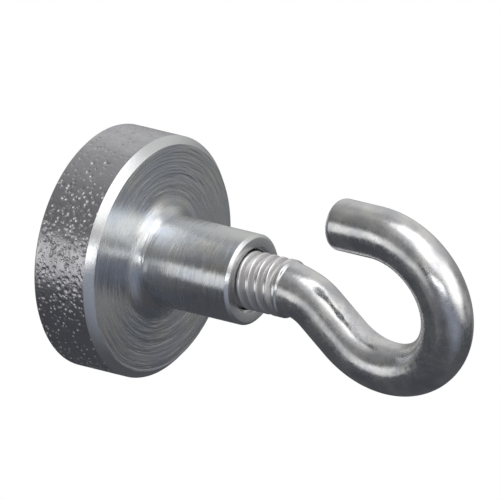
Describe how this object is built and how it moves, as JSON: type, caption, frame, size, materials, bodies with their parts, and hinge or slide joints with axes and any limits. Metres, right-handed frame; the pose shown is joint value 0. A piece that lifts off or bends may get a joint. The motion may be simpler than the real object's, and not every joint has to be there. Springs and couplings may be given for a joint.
{
  "type": "pot magnet with screw-in hook",
  "caption": "Steel pot magnet with a tapped boss on its back and an open question-mark hook screwed into it.",
  "frame": {"origin": "centre of the magnetic face, on the plane of the pot's rim", "axes": "+Z along the boss from the magnetic face to the hook; the hook is bent in the XZ plane with its open tip on the -X side"},
  "size_m": [0.016, 0.016, 0.0288],
  "materials": {
    "turned_steel": "turned steel, pitted on the side wall",
    "nickel_plate": "nickel plated sintered magnet",
    "cast_resin": "cast grey resin",
    "zinc_plated_rod": "bright zinc plate"
  },
  "bodies": {
    "root": {"pot": "turned_steel", "magnet": "nickel_plate", "resin_ring": "cast_resin", "hook": "zinc_plated_rod"}
  },
  "joints": []
}
